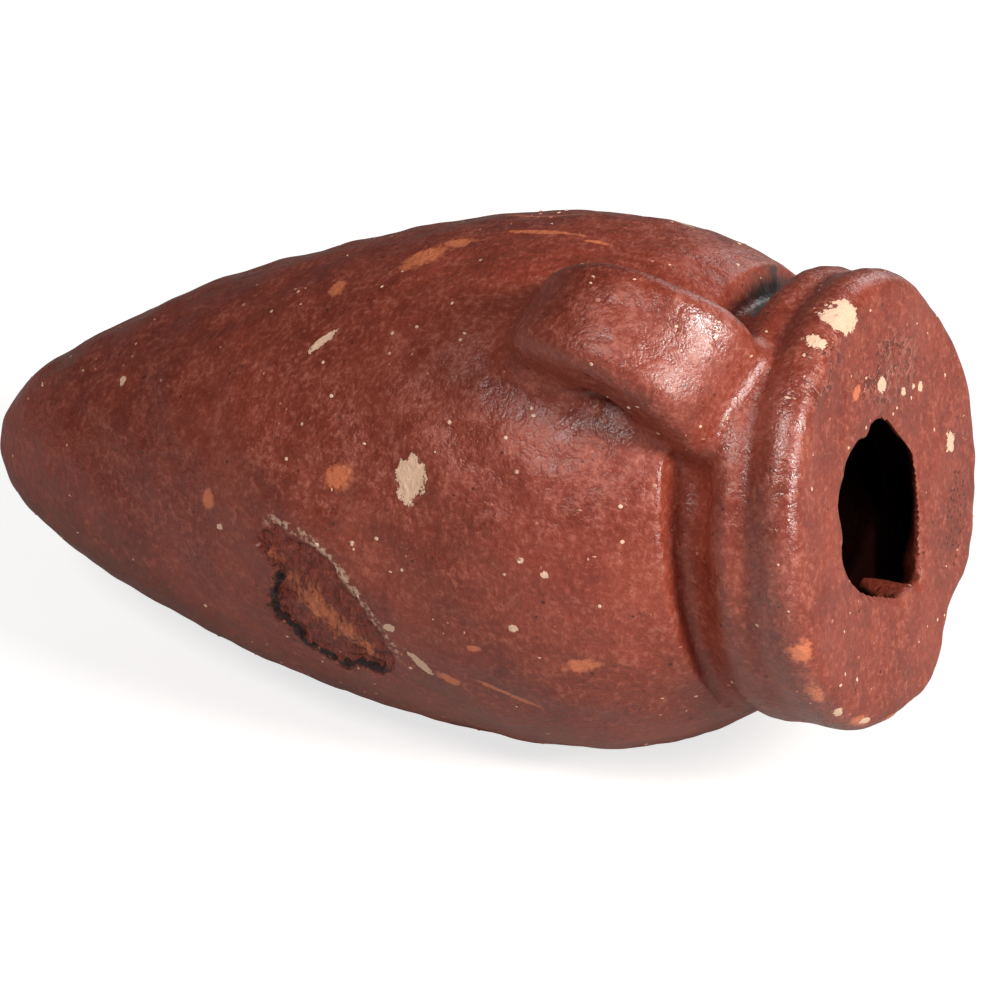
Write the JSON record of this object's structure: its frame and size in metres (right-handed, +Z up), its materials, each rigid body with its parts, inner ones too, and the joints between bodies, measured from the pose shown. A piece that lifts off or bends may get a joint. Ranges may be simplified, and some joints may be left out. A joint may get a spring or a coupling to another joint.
{
  "type": "vessel flute",
  "caption": "Small hand-built clay vessel flute shaped like a two-handled amphora, hollow, with a ragged mouth hole in a flat lip.",
  "frame": {"origin": "on the surface that the vessel lies on, under the middle of its box", "axes": "+X towards the mouth, +Z up as the vessel lies at rest on the flat of its belly, tip lower than the mouth; -Y is the side of the near handle"},
  "size_m": [0.082, 0.0428, 0.0462],
  "materials": {
    "slip_coated_terracotta": "satin red-brown slip over earthenware, worn and chipped"
  },
  "bodies": {
    "root": {"near_shell": "slip_coated_terracotta", "far_shell": "slip_coated_terracotta", "neck_ring": "slip_coated_terracotta", "mouth_disc": "slip_coated_terracotta", "near_handle": "slip_coated_terracotta", "far_handle": "slip_coated_terracotta"}
  },
  "joints": []
}
